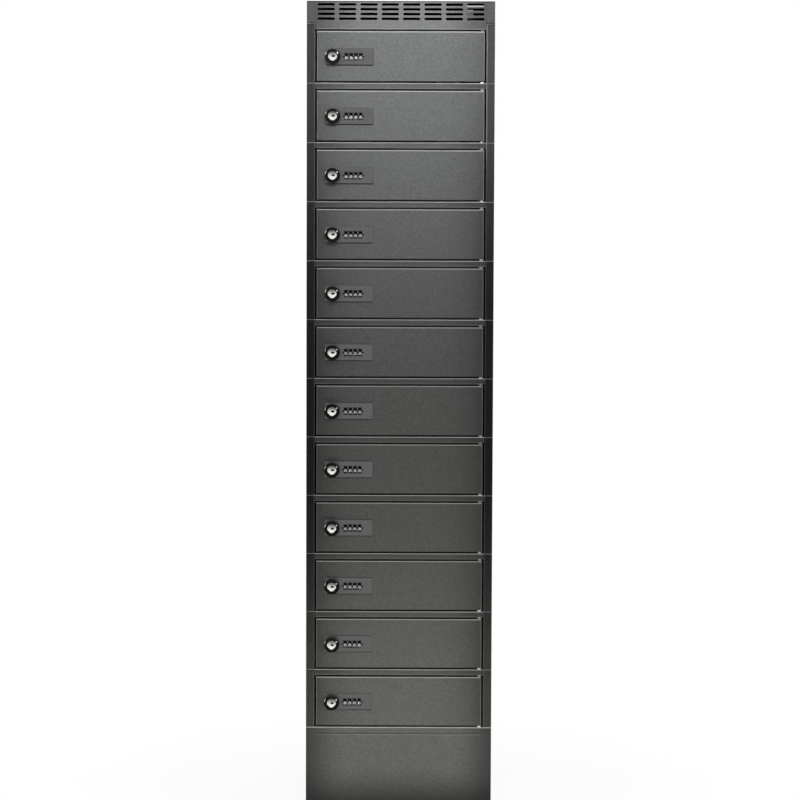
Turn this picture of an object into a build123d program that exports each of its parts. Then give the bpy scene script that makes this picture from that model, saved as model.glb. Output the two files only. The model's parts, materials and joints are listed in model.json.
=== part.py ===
from build123d import *
import math
import os

# A free-standing tower of laptop charging bays in folded, powder-coated steel.
# Millimetres. X runs across the front, Y from front to back, Z up from the floor.
# The origin is on the floor, under the middle of the tower.

# Driving sizes of the tower
body_width = 440.0
body_depth = 500.0
bay_count = 12
bay_pitch = 138.2
plinth_height = 180.0
cap_height = 52.4
foot_clearance = 3.0

# Sheet thicknesses and folds
skin = 1.2
deck_thickness = 1.5
fold_radius = 2.0
seam_chamfer = 0.6
joint_gap = 0.3

# Front frame around each door
post_width = 20.0
rail_height = 13.5
door_end_gap = 3.5
door_side_gap = 4.0
door_depth = 18.0
door_fold_radius = 1.5
stop_lip_height = 8.0
stop_lip_gap = 0.3

# Nylon pivots that each door swings on
pivot_inset = 5.6
pivot_setback = 6.0
pivot_shank_radius = 2.5
pivot_collar_radius = 4.2
pivot_reach = 6.0
pivot_root = 4.0
pivot_end_play = 0.2
running_clearance = 0.05
fit_clearance = 0.02
stop_lip_hinge_room = 3.0

# Combination lock: face plate, body and place on the door
plate_width = 113.0
plate_height = 39.0
plate_thickness = 3.0
plate_corner_radius = 2.5
plate_bevel = 0.6
knob_from_door_edge = 37.0
knob_from_plate_edge = 17.2
lock_drop = 2.0
lock_body_width = 92.0
lock_body_height = 32.0
lock_body_depth = 25.5
lock_body_margin = 12.0
lock_cutout_clearance = 0.5

# Number dials of the lock
dial_count = 4
dial_pitch = 11.2
dial_from_knob = 31.8
dial_radius = 10.0
dial_width = 8.0
dial_recess = 0.6
dial_notch_count = 10
dial_notch_radius = 1.0
dial_side_clearance = 0.3
dial_rim_clearance = 0.6
dial_axle_radius = 1.5
window_height = 18.0

# Knob, key plug and latch cam of the lock
knob_radius = 18.0
knob_height = 14.0
knob_edge_radius = 1.5
knob_flute_count = 24
knob_flute_radius = 1.0
knob_rim = 3.0
knob_gap = 0.3
spindle_radius = 8.0
plug_radius = 11.0
plug_flat = 9.7
plug_seat_depth = 6.0
plug_proud = 1.0
plug_chamfer = 0.8
plug_barrel_radius = 5.0
plug_barrel_length = 18.0
keyway_length = 7.0
keyway_height = 2.6
keyway_offset = 1.5
keyway_depth = 12.0
tang_size = 10.0
cam_thickness = 3.0
cam_length = 50.0
cam_width = 16.0
cam_hub_radius = 11.0
stud_radius = 4.0
cam_nut_flats = 13.0
cam_nut_height = 5.0
strike_clearance = 2.0

# Cap with its air slots
slot_columns = 8
slot_rows = 4
slot_length = 40.5
slot_height = 5.8
slot_column_pitch = 49.9
slot_row_pitch = 11.1
first_slot_from_top = 8.2

# Service duct behind the bays, and its covers
duct_depth = 80.0
cover_count = 2
cover_inset = 2.0
cover_slot_length = 120.0
cover_slot_height = 5.0
cover_slot_pitch = 14.0
cover_slot_rows = 6
cover_slot_spacing = 160.0
back_slot_length = 60.0
back_slot_pitch = 12.0
back_slot_rows = 4
back_slot_from_side = 110.0

# Sockets, power strip and mains inlet
socket_from_side = 80.0
socket_height = 60.0
socket_plate_size = 60.0
socket_plate_thickness = 2.5
socket_body_size = 44.0
socket_body_depth = 30.0
socket_clearance = 0.5
pin_slot_depth = 14.0
# Across, up, width and height of each slot, from the middle of the outlet
pin_slots = [(0, 11.0, 4.2, 8.4), (-11.0, -11.0, 6.8, 4.4), (11.0, -11.0, 6.8, 4.4)]
strip_width = 60.0
strip_depth = 44.0
strip_wall = 2.0
strip_end_room = 25.0
inlet_height = 90.0
inlet_flange_width = 60.0
inlet_flange_height = 40.0
inlet_flange_thickness = 2.0
inlet_body_width = 50.0
inlet_body_height = 34.0
inlet_body_depth = 75.0
inlet_well_width = 26.0
inlet_well_height = 18.0
inlet_well_depth = 18.0
inlet_pin_width = 5.0
inlet_pin_thickness = 2.0
inlet_pin_spacing = 7.0
inlet_pin_rise = 2.0
inlet_pin_length = 14.0
gland_radius = 9.0
gland_height = 8.0
lead_radius = 4.5

# Screws and levelling feet
screw_head_radius = 4.0
screw_head_height = 2.2
screw_shank_radius = 1.95
screw_length = 8.0
screw_hole_clearance = 0.2
wall_bolt_hole_radius = 4.5
wall_bolt_spacing = 300.0
wall_bolt_from_top = 19.0
foot_inset = 45.0
foot_pad_radius = 20.0
foot_pad_height = 6.0
foot_pad_chamfer = 1.5
foot_stud_length = 54.0
foot_nut_flats = 13.0
foot_nut_height = 6.5
gusset_height = 22.0
gusset_size = 75.0
gusset_thickness = 3.0

# Shadow line under the plinth's top rail
plinth_line_drop = 14.4
plinth_line_height = 1.6
plinth_line_depth = 0.7

# Places that follow from the sizes
knob_reach = plate_thickness + knob_gap + knob_height + plug_proud
total_depth = knob_reach + body_depth + screw_head_height
y_front = knob_reach - total_depth / 2
y_back = y_front + body_depth
half_width = body_width / 2
opening_half = half_width - post_width
door_half = opening_half - door_side_gap
wall_depth = body_depth - skin
y_cover = y_back - skin
y_duct = y_cover - duct_depth
y_bay_back = y_duct - skin
wall_height = bay_pitch - deck_thickness
cap_seam = plinth_height + bay_count * bay_pitch
tower_height = cap_seam + cap_height
hinge_x = door_half - pivot_inset
hinge_y = y_front + pivot_setback
knob_x = knob_from_door_edge - door_half
plate_front = y_front - plate_thickness
lock_rear = plate_front + lock_body_depth
dial_axis_y = plate_front + dial_recess + dial_radius
knob_base = plate_front - knob_gap
knob_face = knob_base - knob_height
plug_seat = knob_face + plug_seat_depth
cam_front = lock_rear + knob_gap
socket_x = opening_half - socket_from_side
strip_y = y_duct + strip_depth / 2
strip_bottom = plinth_height + strip_end_room
wall_x = half_width - post_width / 2
back_slot_x = back_slot_from_side - opening_half
bays = range(1, bay_count + 1)

# Heights over the floor of a bay
door_top = bay_pitch - rail_height - door_end_gap
lock_z = (door_end_gap + door_top) / 2 - lock_drop
socket_z = socket_height
cover_screw_z = wall_height / 2


def bay_floor(bay):
    """Height of the floor of a bay; bay 1 is the top one."""
    return plinth_height + (bay_count - bay) * bay_pitch


def in_bay(bay, solids):
    """Moves solids that were made over a floor at height 0 into their bay."""
    return [Pos(0, 0, bay_floor(bay)) * solid for solid in solids]


def in_every_bay(solids):
    return [copy for bay in bays for copy in in_bay(bay, solids)]


def in_stack(top, lower):
    """One solid in the top bay and another, the same each time, in all the bays below it."""
    return [copy for bay in bays for copy in in_bay(bay, [top if bay == 1 else lower])]


def block(x_from, x_to, y_from, y_to, z_from, z_to):
    """A rectangular block between two corners."""
    middle = Pos((x_from + x_to) / 2, (y_from + y_to) / 2, (z_from + z_to) / 2)
    return middle * Box(x_to - x_from, y_to - y_from, z_to - z_from)


def rod_x(y, z, x_from, x_to, radius):
    return Pos((x_from + x_to) / 2, y, z) * Rot(0, 90, 0) * Cylinder(radius, x_to - x_from)


def rod_y(x, z, y_from, y_to, radius):
    return Pos(x, (y_from + y_to) / 2, z) * Rot(90, 0, 0) * Cylinder(radius, y_to - y_from)


def rod_z(x, y, z_from, z_to, radius):
    return Pos(x, y, (z_from + z_to) / 2) * Cylinder(radius, z_to - z_from)


def hex_nut(across_flats, height, bore_radius):
    """A hexagonal nut standing on the XY plane, its hole along Z."""
    corner_radius = across_flats / math.sqrt(3)
    return extrude(RegularPolygon(corner_radius, 6) - Circle(bore_radius), height)


def slot_tool(x, z, y_from, y_to, length, height):
    """The round-ended bar that a punched slot leaves, lying along X."""
    half = (length - height) / 2
    bar = block(x - half, x + half, y_from, y_to, z - height / 2, z + height / 2)
    return bar + [rod_y(x + end * half, z, y_from, y_to, height / 2) for end in (-1, 1)]


def save(name, solids):
    """Writes one node: a single solid, or a group of separate solids."""
    shape = solids[0] if len(solids) == 1 else Compound(children=solids)
    export_step(shape, f"parts/{name}.step")


# Carcass: box-section side walls whose front faces are the posts, decks, rails and backs

def side_wall(side):
    """One folded box-section wall. side is -1 on the lock side and 1 on the hinge side."""
    section = RectangleRounded(post_width, wall_depth, fold_radius)
    section -= Rectangle(post_width - 2 * skin, wall_depth - 2 * skin)
    wall = Pos(side * wall_x, y_front + wall_depth / 2, 0) * extrude(section, wall_height)
    for end in (0, -1):
        rim = wall.faces().sort_by(Axis.Z)[end].outer_wire()
        wall = chamfer(rim.edges(), seam_chamfer)
    wall -= rod_y(side * wall_x, cover_screw_z, y_cover - 2 * skin, y_cover + skin,
                  screw_shank_radius + fit_clearance)
    return wall - strike_slot() if side < 0 else wall


def strike_slot():
    """The slot in the inner skin of the lock-side wall that the cam swings into."""
    to_wall = knob_x + opening_half
    tip_radius = math.hypot(cam_length, cam_width / 2)
    sweep = math.sqrt(tip_radius ** 2 - to_wall ** 2)
    return block(-opening_half - 2 * skin, -opening_half + skin,
                 cam_front - strike_clearance, cam_front + cam_thickness + strike_clearance,
                 lock_z - sweep - strike_clearance, lock_z + cam_width / 2 + strike_clearance)


def deck(carries_bay):
    """The sheet over a bay. It is the floor of the bay above, or under the cap it carries none."""
    sheet = block(-half_width, half_width, y_front, y_cover, wall_height, bay_pitch)
    sheet = fillet(sheet.edges().filter_by(Axis.X).group_by(Axis.Y)[0], seam_chamfer)
    sheet -= duct_window(bay_pitch)
    if carries_bay:
        return sheet - lower_pivot_hole(bay_pitch)
    notch = opening_half + joint_gap
    return sheet - block(-notch, notch, y_front - 1, y_front + skin + joint_gap,
                         wall_height - 1, bay_pitch + 1)


def duct_window(top):
    """The opening in a deck where the service duct runs through it."""
    half = opening_half - joint_gap
    return block(-half, half, y_duct, y_cover - post_width, top - deck_thickness - 1, top + 1)


def lower_pivot_hole(floor):
    """The hole in a floor for the root of the lower pivot."""
    return rod_z(hinge_x, hinge_y, floor - deck_thickness - 2 * skin, floor + 1,
                 pivot_shank_radius + fit_clearance)


def front_rail(setback, carries_bay):
    """The folded channel over a door, with the lip that the shut door rests against."""
    bottom = bay_pitch - rail_height
    lip_front = y_front + door_depth + stop_lip_gap
    rear = lip_front + skin
    front = y_front + setback
    half = opening_half - joint_gap
    rail = block(-half, half, front, front + skin, bottom, wall_height)
    rail += block(-half, half, front, rear, wall_height - skin, wall_height)
    rail += block(-half, half, front, rear, bottom, bottom + skin)
    lip_end = hinge_x - pivot_inset - stop_lip_hinge_room
    rail += block(-half, lip_end, lip_front, rear,
                  bottom - stop_lip_height, bottom + skin)
    rail = fillet(rail.edges().filter_by(Axis.X).group_by(Axis.Y)[0], skin / 2)
    rail -= rod_z(hinge_x, hinge_y, bottom - 1, bottom + skin + 1, pivot_shank_radius + fit_clearance)
    return rail - lower_pivot_hole(bay_pitch) if carries_bay else rail


def bay_back():
    """The sheet between a bay and the service duct, with its socket hole and air slots."""
    half = opening_half - joint_gap
    sheet = block(-half, half, y_bay_back, y_duct, 0, wall_height)
    sheet -= socket_hole(y_bay_back, y_duct)
    slots = [slot_tool(back_slot_x, socket_z + (row - (back_slot_rows - 1) / 2) * back_slot_pitch,
                       y_bay_back - 1, y_duct + 1, back_slot_length, slot_height)
             for row in range(back_slot_rows)]
    return sheet - slots


def socket_hole(y_from, y_to):
    """The square hole that an outlet's body passes through."""
    half = socket_body_size / 2 + socket_clearance
    return block(socket_x - half, socket_x + half, y_from - 1, y_to + 1, socket_z - half, socket_z + half)


def vent_cap():
    """The hood on top: its front carries the air slots and a tongue over the first rail."""
    hood = block(-half_width, half_width, y_front, y_back, cap_seam, tower_height)
    hood = fillet(hood.edges().filter_by(Axis.Z), fold_radius)
    hood = fillet(hood.faces().sort_by(Axis.Z)[-1].edges(), fold_radius)
    hood -= block(-half_width + skin, half_width - skin, y_front + skin, y_back - skin,
                  cap_seam - 1, tower_height - skin)
    tongue_half = opening_half - joint_gap
    hood += block(-tongue_half, tongue_half, y_front, y_front + skin,
                  cap_seam - rail_height, cap_seam + skin)
    for row in range(slot_rows):
        z = tower_height - first_slot_from_top - row * slot_row_pitch
        hood -= cap_slots(z, y_front, y_front + skin)
    hood -= cap_slots(z, y_back - skin, y_back)
    for side in (-1, 1):
        hood -= rod_y(side * wall_bolt_spacing / 2, tower_height - wall_bolt_from_top,
                      y_back - 2 * skin, y_back + skin, wall_bolt_hole_radius)
    return hood


def cap_slots(z, y_from, y_to):
    """One row of the cap's air slots."""
    places = [(column - (slot_columns - 1) / 2) * slot_column_pitch for column in range(slot_columns)]
    return [slot_tool(x, z, y_from - 1, y_to + 1, slot_length, slot_height) for x in places]


def plinth():
    """The base: folded shell with a closed front, a deck and four gussets for the feet."""
    top = plinth_height
    shell = block(-half_width, half_width, y_front, y_back, foot_clearance, top)
    shell = fillet(shell.edges().filter_by(Axis.Z), fold_radius)
    shell = chamfer(shell.faces().sort_by(Axis.Z)[-1].edges(), seam_chamfer)
    shell -= block(-half_width + skin, half_width - skin, y_front + skin, y_back - skin,
                   foot_clearance - 1, top - deck_thickness)
    line_half = opening_half - joint_gap
    line_top = top - plinth_line_drop
    shell -= block(-line_half, line_half, y_front - 1, y_front + plinth_line_depth,
                   line_top - plinth_line_height, line_top)
    shell -= duct_window(top)
    shell -= lower_pivot_hole(top)
    half = inlet_body_width / 2 + joint_gap
    half_tall = inlet_body_height / 2 + joint_gap
    shell -= block(socket_x - half, socket_x + half, y_back - 2 * skin, y_back + 1,
                   inlet_height - half_tall, inlet_height + half_tall)
    for row in range(back_slot_rows):
        z = inlet_height + (row - (back_slot_rows - 1) / 2) * cover_slot_pitch
        shell -= slot_tool(back_slot_x, z, y_back - 2 * skin, y_back + 1,
                           cover_slot_length, cover_slot_height)
    for x, y in foot_places():
        shell += gusset(x, y)
        shell -= rod_z(x, y, gusset_height - 1, gusset_height + gusset_thickness + 1,
                       stud_radius + fit_clearance)
    return shell


def gusset(x, y):
    """The square plate welded into a corner of the plinth, which a levelling foot carries."""
    corner_x = math.copysign(half_width - skin, x)
    corner_y = y_back - skin if y > 0 else y_front + skin
    inner_x = corner_x - math.copysign(gusset_size, x)
    inner_y = corner_y - math.copysign(gusset_size, y)
    return block(min(corner_x, inner_x), max(corner_x, inner_x),
                 min(corner_y, inner_y), max(corner_y, inner_y),
                 gusset_height, gusset_height + gusset_thickness)


def rear_cover(index):
    """One screwed-on sheet over the service duct, with two columns of air slots."""
    span = bay_count * bay_pitch / cover_count
    bottom = plinth_height + index * span + joint_gap
    top = plinth_height + (index + 1) * span - joint_gap
    half = half_width - cover_inset
    sheet = block(-half, half, y_cover, y_back, bottom, top)
    screw_heights = [bay_floor(bay) + cover_screw_z for bay in bays]
    sheet -= [rod_y(side * wall_x, z, y_cover - 1, y_back + 1, screw_shank_radius + screw_hole_clearance)
              for z in screw_heights if bottom < z < top for side in (-1, 1)]
    slots = []
    for group_z in (bottom + span / 6, top - span / 6):
        for row in range(cover_slot_rows):
            z = group_z + (row - (cover_slot_rows - 1) / 2) * cover_slot_pitch
            slots += [slot_tool(side * cover_slot_spacing / 2, z, y_cover - 1, y_back + 1,
                                cover_slot_length, cover_slot_height) for side in (-1, 1)]
    return sheet - slots


# Doors, their pivots and locks

def door():
    """A folded steel pan, open at the back, with a cut-out for the lock."""
    pan = block(-door_half, door_half, y_front, y_front + door_depth, door_end_gap, door_top)
    pan = fillet(pan.faces().sort_by(Axis.Y)[0].edges(), door_fold_radius)
    pan -= block(-door_half + skin, door_half - skin, y_front + skin, y_front + door_depth + 1,
                 door_end_gap + skin, door_top - skin)
    pan -= rod_z(hinge_x, hinge_y, door_end_gap - 1, door_top + 1,
                 pivot_shank_radius + running_clearance)
    return pan - lock_body(lock_cutout_clearance)


def hinge_pivots():
    """The two collared nylon pins of a door, one in the floor and one in the rail."""
    ceiling = bay_pitch - rail_height
    lower = rod_z(hinge_x, hinge_y, 0, door_end_gap - pivot_end_play, pivot_collar_radius)
    lower += rod_z(hinge_x, hinge_y, -deck_thickness - skin, door_end_gap + pivot_reach,
                   pivot_shank_radius)
    upper = rod_z(hinge_x, hinge_y, door_top + pivot_end_play, ceiling, pivot_collar_radius)
    upper += rod_z(hinge_x, hinge_y, door_top - pivot_reach, ceiling + pivot_root, pivot_shank_radius)
    return [lower, upper]


def lock_body(clearance):
    """The block behind the face plate, or with a clearance the hole that it passes through."""
    left = knob_x - lock_body_margin - clearance
    half_tall = lock_body_height / 2 + clearance
    return block(left, left + lock_body_width + 2 * clearance, y_front - clearance, lock_rear,
                 lock_z - half_tall, lock_z + half_tall)


def dial_x(index):
    return knob_x + dial_from_knob + index * dial_pitch


def lock_housing():
    """Face plate and body in one moulding, bored for the knob, with the dials' fixed axle."""
    left = knob_x - knob_from_plate_edge
    plate = block(left, left + plate_width, plate_front, y_front,
                  lock_z - plate_height / 2, lock_z + plate_height / 2)
    plate = fillet(plate.edges().filter_by(Axis.Y), plate_corner_radius)
    plate = chamfer(plate.faces().sort_by(Axis.Y)[0].edges(), plate_bevel)
    housing = plate + lock_body(0)
    housing -= rod_y(knob_x, lock_z, plate_front - 1, lock_rear + 1,
                     spindle_radius + running_clearance)
    half_window = dial_width / 2 + dial_side_clearance
    for index in range(dial_count):
        x = dial_x(index)
        housing -= rod_x(dial_axis_y, lock_z, x - half_window, x + half_window,
                         dial_radius + dial_rim_clearance)
        housing -= block(x - half_window, x + half_window, plate_front - 1, dial_axis_y,
                         lock_z - window_height / 2, lock_z + window_height / 2)
    axle_from = dial_x(0) - dial_pitch
    axle_to = dial_x(dial_count - 1) + dial_pitch
    housing -= rod_x(dial_axis_y, lock_z, axle_from, axle_to, dial_axle_radius + fit_clearance)
    return [housing, rod_x(dial_axis_y, lock_z, axle_from, axle_to, dial_axle_radius)]


def number_dial(index):
    """One number wheel, with a thumb notch between each two of its ten numbers."""
    x_from = dial_x(index) - dial_width / 2
    x_to = x_from + dial_width
    wheel = rod_x(dial_axis_y, lock_z, x_from, x_to, dial_radius)
    wheel -= rod_x(dial_axis_y, lock_z, x_from - 1, x_to + 1, dial_axle_radius + running_clearance)
    for notch in range(dial_notch_count):
        angle = 2 * math.pi * (notch + 0.5) / dial_notch_count
        wheel -= rod_x(dial_axis_y - dial_radius * math.cos(angle),
                       lock_z + dial_radius * math.sin(angle),
                       x_from - 1, x_to + 1, dial_notch_radius)
    return wheel


def knob_grip():
    """The fluted knob and its spindle, which ends in a square tang and a threaded stud."""
    grip = rod_y(knob_x, lock_z, knob_face, knob_base, knob_radius)
    grip = fillet(grip.faces().sort_by(Axis.Y)[0].edges(), knob_edge_radius)
    turns = [2 * math.pi * flute / knob_flute_count for flute in range(knob_flute_count)]
    grip -= [rod_y(knob_x + knob_radius * math.cos(turn), lock_z + knob_radius * math.sin(turn),
                   knob_face + knob_rim, knob_base + 1, knob_flute_radius) for turn in turns]
    cam_rear = cam_front + cam_thickness
    half = tang_size / 2
    grip += rod_y(knob_x, lock_z, knob_base, cam_front, spindle_radius)
    grip += block(knob_x - half, knob_x + half, cam_front, cam_rear, lock_z - half, lock_z + half)
    grip += rod_y(knob_x, lock_z, cam_rear, cam_rear + cam_nut_height + 1, stud_radius)
    grip -= plug_face(knob_face - 1, fit_clearance)
    return grip - rod_y(knob_x, lock_z, plug_seat - 1, plug_seat + plug_barrel_length,
                        plug_barrel_radius + fit_clearance)


def plug_face(front, clearance):
    """The plug's round head, with two flats that meet at the bottom, or the hole for it."""
    reach = plug_flat + clearance
    side = 4 * plug_radius
    flats = Pos(0, (side / 2 - reach) * math.sqrt(2)) * Rot(0, 0, 45) * Rectangle(side, side)
    outline = Circle(plug_radius + clearance) & flats
    return Pos(knob_x, plug_seat, lock_z) * Rot(90, 0, 0) * extrude(outline, plug_seat - front)


def key_plug():
    """The metal face and barrel of the override key lock, with its keyway."""
    front = knob_face - plug_proud
    plug = plug_face(front, 0)
    plug = chamfer(plug.faces().sort_by(Axis.Y)[0].edges(), plug_chamfer)
    plug += rod_y(knob_x, lock_z, plug_seat, plug_seat + plug_barrel_length, plug_barrel_radius)
    middle = knob_x + keyway_offset
    return plug - block(middle - keyway_length / 2, middle + keyway_length / 2,
                        front - 1, front + keyway_depth,
                        lock_z - keyway_height / 2, lock_z + keyway_height / 2)


def latch_cam():
    """The steel tongue that hangs down when unlocked and swings into the side wall to lock."""
    cam_rear = cam_front + cam_thickness
    tip_z = lock_z - cam_length + cam_width / 2
    hole = tang_size / 2 + fit_clearance
    cam = rod_y(knob_x, lock_z, cam_front, cam_rear, cam_hub_radius)
    cam += block(knob_x - cam_width / 2, knob_x + cam_width / 2, cam_front, cam_rear, tip_z, lock_z)
    cam += rod_y(knob_x, tip_z, cam_front, cam_rear, cam_width / 2)
    return cam - block(knob_x - hole, knob_x + hole, cam_front - 1, cam_rear + 1,
                       lock_z - hole, lock_z + hole)


def cam_nut():
    nut = hex_nut(cam_nut_flats, cam_nut_height, stud_radius + fit_clearance)
    return Pos(knob_x, cam_front + cam_thickness + cam_nut_height, lock_z) * Rot(90, 0, 0) * nut


# Power: outlets, strip, lead and inlet

def socket_outlet():
    """A three-slot outlet whose body passes through the bay's back into the power strip."""
    half = socket_plate_size / 2
    front = y_bay_back - socket_plate_thickness
    plate = block(socket_x - half, socket_x + half, front, y_bay_back, socket_z - half, socket_z + half)
    plate = fillet(plate.edges().filter_by(Axis.Y), fold_radius)
    plate = chamfer(plate.faces().sort_by(Axis.Y)[0].edges(), seam_chamfer)
    half = socket_body_size / 2
    outlet = plate + block(socket_x - half, socket_x + half, y_bay_back, y_bay_back + socket_body_depth,
                           socket_z - half, socket_z + half)
    for dx, dz, width, height in pin_slots:
        outlet -= block(socket_x + dx - width / 2, socket_x + dx + width / 2,
                        front - 1, front + pin_slot_depth,
                        socket_z + dz - height / 2, socket_z + dz + height / 2)
    return outlet


def power_strip():
    """The hollow aluminium strip in the duct that holds the body of every outlet."""
    top = cap_seam - strip_end_room
    half = strip_width / 2
    strip = block(socket_x - half, socket_x + half, y_duct, y_duct + strip_depth, strip_bottom, top)
    strip -= block(socket_x - half + strip_wall, socket_x + half - strip_wall,
                   y_duct + strip_wall, y_duct + strip_depth - strip_wall,
                   strip_bottom + strip_wall, top - strip_wall)
    return strip - in_every_bay([socket_hole(y_duct, y_duct + strip_wall)])


def supply_lead():
    """The short straight lead from the inlet's gland up into the foot of the strip."""
    return rod_z(socket_x, strip_y, inlet_height + inlet_body_height / 2 + gland_height,
                 strip_bottom, lead_radius)


def mains_inlet():
    """A flanged inlet with three pins in its well, and a cable gland on top of its box."""
    half = inlet_flange_width / 2
    half_tall = inlet_flange_height / 2
    flange = block(socket_x - half, socket_x + half, y_back, y_back + inlet_flange_thickness,
                   inlet_height - half_tall, inlet_height + half_tall)
    flange = fillet(flange.edges().filter_by(Axis.Y), fold_radius)
    half = inlet_body_width / 2
    half_tall = inlet_body_height / 2
    inlet = flange + block(socket_x - half, socket_x + half, y_back - inlet_body_depth, y_back,
                           inlet_height - half_tall, inlet_height + half_tall)
    rear = y_back + inlet_flange_thickness
    floor = rear - inlet_well_depth
    half = inlet_well_width / 2
    half_tall = inlet_well_height / 2
    inlet -= block(socket_x - half, socket_x + half, floor, rear + 1,
                   inlet_height - half_tall, inlet_height + half_tall)
    half = inlet_pin_thickness / 2
    half_tall = inlet_pin_width / 2
    for across, up in ((0, 1), (-1, -1), (1, -1)):
        x = socket_x + across * inlet_pin_spacing
        z = inlet_height + up * inlet_pin_rise
        inlet += block(x - half, x + half, floor - 1, floor + inlet_pin_length,
                       z - half_tall, z + half_tall)
    top = inlet_height + inlet_body_height / 2
    return inlet + rod_z(socket_x, strip_y, top, top + gland_height, gland_radius)


# Screws and feet

def cover_screw(x):
    """A pan-head screw through a rear cover into the back of a side wall."""
    head = rod_y(x, cover_screw_z, y_back, y_back + screw_head_height, screw_head_radius)
    head = fillet(head.faces().sort_by(Axis.Y)[-1].edges(), screw_head_height / 2)
    half = screw_head_radius / 2
    thin = screw_head_radius / 8
    recess = y_back + screw_head_height / 2
    for half_x, half_z in ((thin, half), (half, thin)):
        head -= block(x - half_x, x + half_x, recess, recess + screw_head_height,
                      cover_screw_z - half_z, cover_screw_z + half_z)
    return head + rod_y(x, cover_screw_z, y_back - screw_length, y_back, screw_shank_radius)


def foot_places():
    """Where the four levelling feet stand."""
    x = half_width - foot_inset
    return [(side * x, y) for side in (-1, 1) for y in (y_front + foot_inset, y_back - foot_inset)]


def levelling_foot(x, y):
    """A pad on a threaded stud, with a nut under the gusset and a lock nut on top of it."""
    pad = rod_z(x, y, 0, foot_pad_height, foot_pad_radius)
    pad = chamfer(pad.edges().filter_by(GeomType.CIRCLE), foot_pad_chamfer)
    foot = pad + rod_z(x, y, foot_pad_height, foot_pad_height + foot_stud_length, stud_radius)
    nut = hex_nut(foot_nut_flats, foot_nut_height, stud_radius + fit_clearance)
    lower = Pos(x, y, gusset_height - foot_nut_height) * nut
    upper = Pos(x, y, gusset_height + gusset_thickness) * nut
    return [foot, lower, upper]


os.makedirs("parts", exist_ok=True)

door_pieces = {
    "door": [door()],
    "lock_housing": lock_housing(),
    "knob": [knob_grip(), key_plug(), latch_cam(), cam_nut()],
    "dials": [number_dial(index) for index in range(dial_count)],
}
for bay in bays:
    for name, solids in door_pieces.items():
        save(f"{name}_{bay:02d}", in_bay(bay, solids))

top_deck = deck(carries_bay=False)
lower_deck = deck(carries_bay=True)
top_rail = front_rail(setback=skin + joint_gap, carries_bay=False)
lower_rail = front_rail(setback=0, carries_bay=True)
save("side_walls", in_every_bay([side_wall(-1), side_wall(1)]))
save("bay_decks", in_stack(top_deck, lower_deck))
save("front_rails", in_stack(top_rail, lower_rail))
save("bay_backs", in_every_bay([bay_back()]))
save("hinge_pivots", in_every_bay(hinge_pivots()))
save("vent_cap", [vent_cap()])
save("plinth", [plinth()])
save("rear_covers", [rear_cover(index) for index in range(cover_count)])
save("socket_outlets", in_every_bay([socket_outlet()]))
save("power_supply", [power_strip(), supply_lead(), mains_inlet()])
save("levelling_feet", [solid for x, y in foot_places() for solid in levelling_foot(x, y)])
save("cover_screws", in_every_bay([cover_screw(-wall_x), cover_screw(wall_x)]))
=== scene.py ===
import json
import math

import bmesh
import bpy
from mathutils import Matrix, Vector


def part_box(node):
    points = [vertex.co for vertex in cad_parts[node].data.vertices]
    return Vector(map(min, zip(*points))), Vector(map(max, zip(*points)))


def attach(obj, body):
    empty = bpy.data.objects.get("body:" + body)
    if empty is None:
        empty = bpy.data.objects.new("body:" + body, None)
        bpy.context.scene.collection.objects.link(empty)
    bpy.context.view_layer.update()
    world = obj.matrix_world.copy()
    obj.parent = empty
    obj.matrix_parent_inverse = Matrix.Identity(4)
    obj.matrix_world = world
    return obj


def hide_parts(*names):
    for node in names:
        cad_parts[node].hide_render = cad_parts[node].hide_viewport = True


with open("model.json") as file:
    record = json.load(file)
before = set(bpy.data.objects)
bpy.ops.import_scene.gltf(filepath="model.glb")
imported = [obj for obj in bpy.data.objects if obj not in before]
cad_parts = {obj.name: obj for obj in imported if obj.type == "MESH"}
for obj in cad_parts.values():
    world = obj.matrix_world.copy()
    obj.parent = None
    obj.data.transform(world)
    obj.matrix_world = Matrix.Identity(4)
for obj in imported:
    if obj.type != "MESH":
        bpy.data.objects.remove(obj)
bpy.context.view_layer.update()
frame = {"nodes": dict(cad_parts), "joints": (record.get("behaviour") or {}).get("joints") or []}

# The plinth is the tower's base: a folded shell of sheet steel with a closed front.
# It has the same baked powder coat as the doors: dark grey, semi-matt, with a fine
# pebbled skin. Its cut and folded edges are painted lighter and metallic as painted highlights.
mm = 0.001
coat_grey = (0.080, 0.0805, 0.0790, 1)
coat_roughness = 0.5
coat_specular = 0.25
pebble_size = 0.9 * mm
pebble_height = 0.05 * mm
pebble_gloss = 0.08
mottle_size = 4.5 * mm
mottle_share = 0.16
mottle_contrast = (0.3, 0.7)
shade_black = (0, 0, 0, 1)
highlight_grey = (0.42, 0.42, 0.41, 1)
highlight_metal = 0.6
cut_edge = (1.1 * mm, 2.1 * mm)
front_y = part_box("plinth")[0].y
plinth_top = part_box("plinth")[1].z
# Painted shade: the plinth is painted darker at its ends, at its foot and in the groove under its top
# rail.
plinth_ends = (120 * mm, 250 * mm)
plinth_ends_dark = 0.8
plinth_foot = (-25 * mm, 95 * mm)
plinth_foot_dark = 0.85
shadow_line = plinth_top - 15.2 * mm
shadow_line_fade = (0.9 * mm, 1.9 * mm)
shadow_line_end = (195 * mm, 196 * mm)
shadow_line_dark = 0.45
# Painted highlight: a lighter line under that groove.
light_line = shadow_line - 2.6 * mm
light_line_fade = (0.8 * mm, 1.6 * mm)
light_line_highlight = 0.12


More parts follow.
